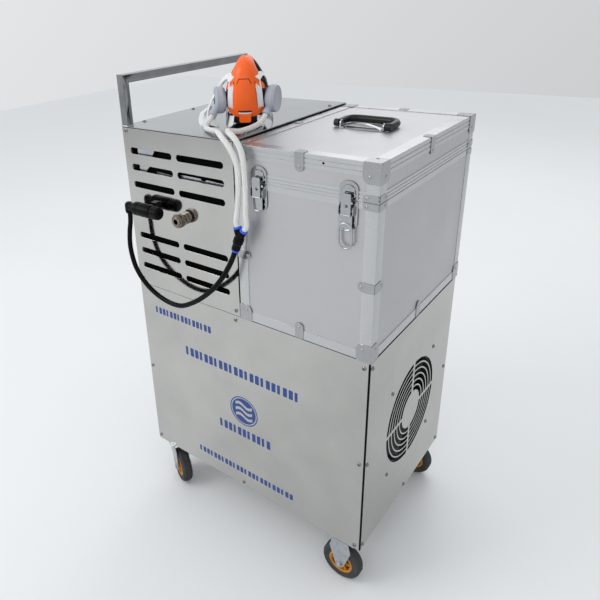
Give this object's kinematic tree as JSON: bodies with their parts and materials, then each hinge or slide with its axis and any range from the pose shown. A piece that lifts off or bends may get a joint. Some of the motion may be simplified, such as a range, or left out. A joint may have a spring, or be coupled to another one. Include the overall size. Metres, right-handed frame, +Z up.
{
  "type": "powered air respirator",
  "caption": "Wheeled steel air-supply cabinet with fan grille, louvred tower, lidded equipment case, push handle, and a half mask fed by breathing tubes.",
  "frame": {"origin": "on the floor under the middle of the object, between the casters", "axes": "+Z up; -Y is the front with the louvres and latches; +X is to the right, where the case and the fan grille are"},
  "size_m": [0.66, 0.5524, 1.2155],
  "materials": {
    "stainless_sheet": "polished stainless steel sheet",
    "zinc_plate": "zinc-plated pressed steel",
    "tyre_rubber": "matt grey-black rubber",
    "amber_plastic": "moulded amber nylon",
    "black_plastic": "moulded black plastic",
    "red_plastic": "moulded red plastic",
    "cast_aluminium": "cast aluminium",
    "painted_steel": "blue enamel on steel",
    "nickel_brass": "nickel-plated brass",
    "case_aluminium": "fine-grained aluminium laminate",
    "chrome_steel": "chromed pressed steel",
    "mask_rubber": "soft black rubber",
    "orange_plastic": "moulded orange plastic",
    "grey_plastic": "moulded pale blue-grey plastic",
    "white_webbing": "white-grey elastic webbing",
    "hose_black": "smooth black polyurethane hose",
    "tube_silicone": "translucent milky tube"
  },
  "bodies": {
    "cart": {"caster_front_right_fork": "zinc_plate", "caster_rear_right_fork": "zinc_plate", "caster_front_left_plate": "zinc_plate", "caster_rear_left_plate": "zinc_plate", "base_pan": "stainless_sheet", "post_front_left": "stainless_sheet", "post_rear_left": "stainless_sheet", "post_front_right": "stainless_sheet", "post_rear_right": "stainless_sheet", "front_panel": "stainless_sheet", "grille_panel": "stainless_sheet", "left_panel": "stainless_sheet", "rear_panel": "stainless_sheet", "deck_panel": "stainless_sheet", "louvre_panel": "stainless_sheet", "tower_top_plate": "stainless_sheet", "push_handle": "stainless_sheet", "fan_housing": "black_plastic", "compressor": "cast_aluminium", "air_receiver": "painted_steel", "air_filter": "cast_aluminium", "outlet_coupler": "nickel_brass", "flow_valve": "black_plastic", "case_body": "case_aluminium", "latch_left_base": "chrome_steel", "latch_right_base": "chrome_steel", "mask_shell": "mask_rubber", "mask_face_seal": "mask_rubber", "mask_front_cover": "orange_plastic", "mask_cap_left": "grey_plastic", "mask_cap_right": "grey_plastic", "mask_head_strap": "white_webbing", "y_connector": "black_plastic", "supply_hose": "hose_black", "breathing_tube_left": "tube_silicone", "breathing_tube_right": "tube_silicone", "power_inlet": "black_plastic"},
    "swivel_front_left": {"caster_front_left_fork": "zinc_plate"},
    "wheel_front_left": {"caster_front_left_tyre": "tyre_rubber", "caster_front_left_hub": "amber_plastic"},
    "swivel_rear_left": {"caster_rear_left_fork": "zinc_plate"},
    "wheel_rear_left": {"caster_rear_left_tyre": "tyre_rubber", "caster_rear_left_hub": "amber_plastic"},
    "wheel_front_right": {"caster_front_right_tyre": "tyre_rubber", "caster_front_right_hub": "amber_plastic"},
    "wheel_rear_right": {"caster_rear_right_tyre": "tyre_rubber", "caster_rear_right_hub": "amber_plastic"},
    "fan_rotor": {"fan_rotor": "black_plastic"},
    "case_lid": {"case_lid": "case_aluminium", "lid_handle_bracket": "chrome_steel", "latch_left_keeper": "chrome_steel", "latch_right_keeper": "chrome_steel"},
    "lid_grip": {"lid_handle_grip": "black_plastic"},
    "latch_left_lever": {"latch_left_lever": "chrome_steel"},
    "latch_left_claw": {"latch_left_claw": "chrome_steel"},
    "latch_right_lever": {"latch_right_lever": "chrome_steel"},
    "latch_right_claw": {"latch_right_claw": "chrome_steel"},
    "valve_knob": {"flow_valve_knob": "black_plastic"},
    "coupler_sleeve": {"coupler_sleeve": "nickel_brass"},
    "power_rocker": {"power_rocker": "red_plastic"}
  },
  "joints": [
    {"name": "swivel_front_left", "type": "hinge", "parent": "cart", "child": "swivel_front_left", "pos_m": [-0.2885, -0.1929, 0.123], "axis": [0, 0, 1], "continuous": true},
    {"name": "roll_front_left", "type": "hinge", "parent": "swivel_front_left", "child": "wheel_front_left", "pos_m": [-0.26177, -0.20652, 0.05], "axis": [0.454, 0.891, 0], "continuous": true},
    {"name": "swivel_rear_left", "type": "hinge", "parent": "cart", "child": "swivel_rear_left", "pos_m": [-0.2885, 0.2151, 0.123], "axis": [0, 0, 1], "continuous": true},
    {"name": "roll_rear_left", "type": "hinge", "parent": "swivel_rear_left", "child": "wheel_rear_left", "pos_m": [-0.26552, 0.23438, 0.05], "axis": [-0.6428, 0.766, 0], "continuous": true},
    {"name": "roll_front_right", "type": "hinge", "parent": "cart", "child": "wheel_front_right", "pos_m": [0.278, -0.2049, 0.05], "axis": [0, 1, 0], "continuous": true},
    {"name": "roll_rear_right", "type": "hinge", "parent": "cart", "child": "wheel_rear_right", "pos_m": [0.278, 0.2271, 0.05], "axis": [0, 1, 0], "continuous": true},
    {"name": "fan_spin", "type": "hinge", "parent": "cart", "child": "fan_rotor", "pos_m": [0.3115, 0.0191, 0.385], "axis": [1, 0, 0], "continuous": true},
    {"name": "lid_hinge", "type": "hinge", "parent": "cart", "child": "case_lid", "pos_m": [0.1695, 0.2481, 0.99], "axis": [-1, 0, 0], "range_deg": [0, 95]},
    {"name": "lid_grip_pivot", "type": "hinge", "parent": "case_lid", "child": "lid_grip", "pos_m": [0.174, 0.0091, 1.0712], "axis": [1, 0, 0], "range_deg": [0, 90]},
    {"name": "latch_left_pull", "type": "hinge", "parent": "cart", "child": "latch_left_lever", "pos_m": [0.0705, -0.2334, 0.971], "axis": [-1, 0, 0], "range_deg": [0, 100]},
    {"name": "latch_left_draw", "type": "hinge", "parent": "latch_left_lever", "child": "latch_left_claw", "pos_m": [0.0705, -0.238, 0.962], "axis": [-1, 0, 0], "range_deg": [-100, 0]},
    {"name": "latch_right_pull", "type": "hinge", "parent": "cart", "child": "latch_right_lever", "pos_m": [0.2715, -0.2334, 0.971], "axis": [-1, 0, 0], "range_deg": [0, 100]},
    {"name": "latch_right_draw", "type": "hinge", "parent": "latch_right_lever", "child": "latch_right_claw", "pos_m": [0.2715, -0.238, 0.962], "axis": [-1, 0, 0], "range_deg": [-100, 0]},
    {"name": "flow_adjust", "type": "hinge", "parent": "cart", "child": "valve_knob", "pos_m": [-0.208, -0.2579, 0.881], "axis": [1, 0, 0], "range_deg": [0, 270]},
    {"name": "sleeve_release", "type": "slide", "parent": "cart", "child": "coupler_sleeve", "axis": [0, 1, 0], "range_m": [0, 0.004], "stiffness_N_per_m": 600},
    {"name": "power_switch", "type": "hinge", "parent": "cart", "child": "power_rocker", "pos_m": [-0.24, 0.2529, 0.24], "axis": [-1, 0, 0], "range_deg": [0, 14]}
  ],
  "couplings": [
    {"joint": "latch_left_draw", "follows": "latch_left_pull", "ratio": -1},
    {"joint": "latch_right_draw", "follows": "latch_right_pull", "ratio": -1}
  ]
}
